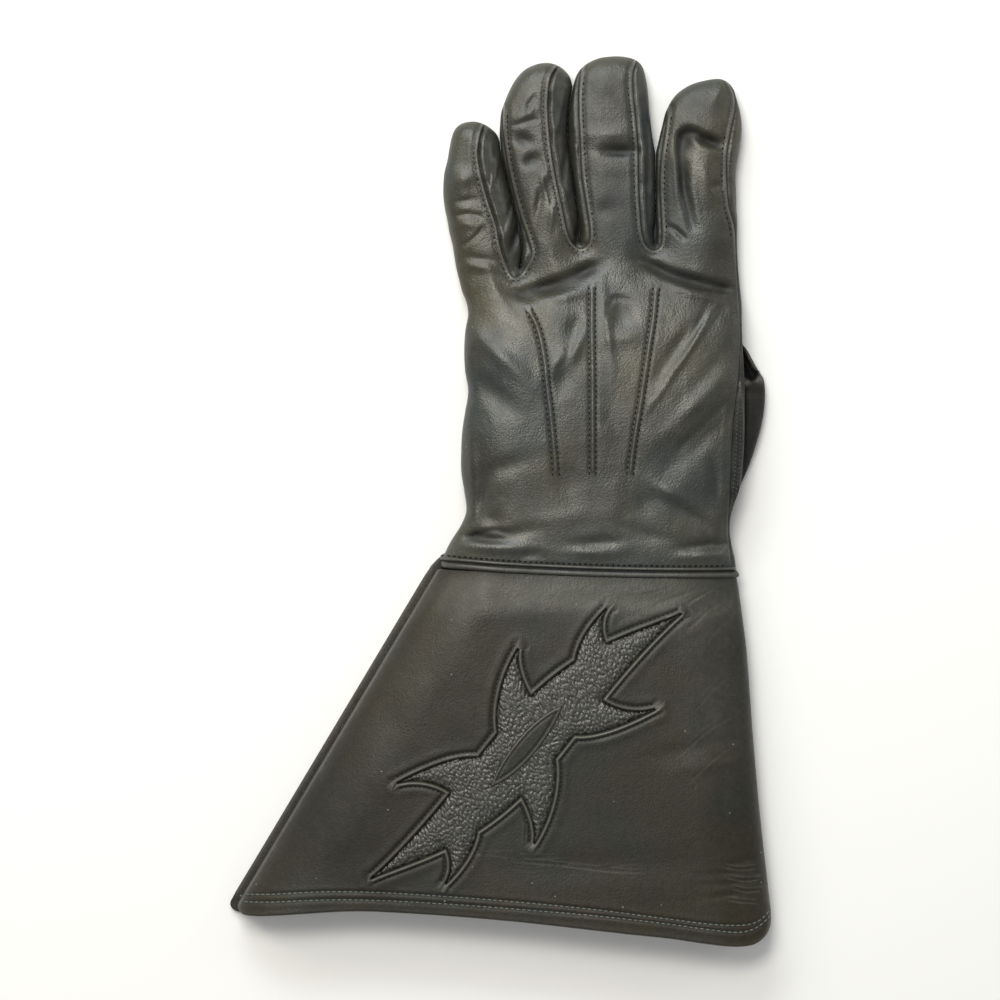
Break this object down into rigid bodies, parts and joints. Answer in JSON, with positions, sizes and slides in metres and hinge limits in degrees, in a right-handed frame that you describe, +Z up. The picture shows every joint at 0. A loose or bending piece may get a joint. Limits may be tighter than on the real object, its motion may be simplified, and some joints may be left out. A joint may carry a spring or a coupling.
{
  "type": "gauntlet glove",
  "caption": "Black leather gauntlet glove with a flared cuff, stitched back and an inlaid cuff panel, lying palm down.",
  "frame": {"origin": "under the middle of the glove's bounding box, on the surface that it lies on", "axes": "+Y from the cuff towards the fingertips, +X towards the index finger, +Z up out of the back of the hand"},
  "size_m": [0.225, 0.3678, 0.0237],
  "materials": {
    "hand_leather": "soft satin, fine grain",
    "side_leather": "satin, fine grain",
    "welt_leather": "soft satin",
    "cuff_leather": "smooth satin",
    "pebbled_leather": "pebbled satin"
  },
  "bodies": {
    "root": {"hand_back": "hand_leather", "hand_palm": "hand_leather", "fourchette_little_ring": "side_leather", "fourchette_ring_middle": "side_leather", "fourchette_middle_index": "side_leather", "thumb": "hand_leather", "wrist_welt_back": "welt_leather", "wrist_welt_palm": "welt_leather", "cuff_back": "cuff_leather", "cuff_palm": "cuff_leather", "inlay_patch": "pebbled_leather", "inlay_leaf": "cuff_leather"}
  },
  "joints": []
}
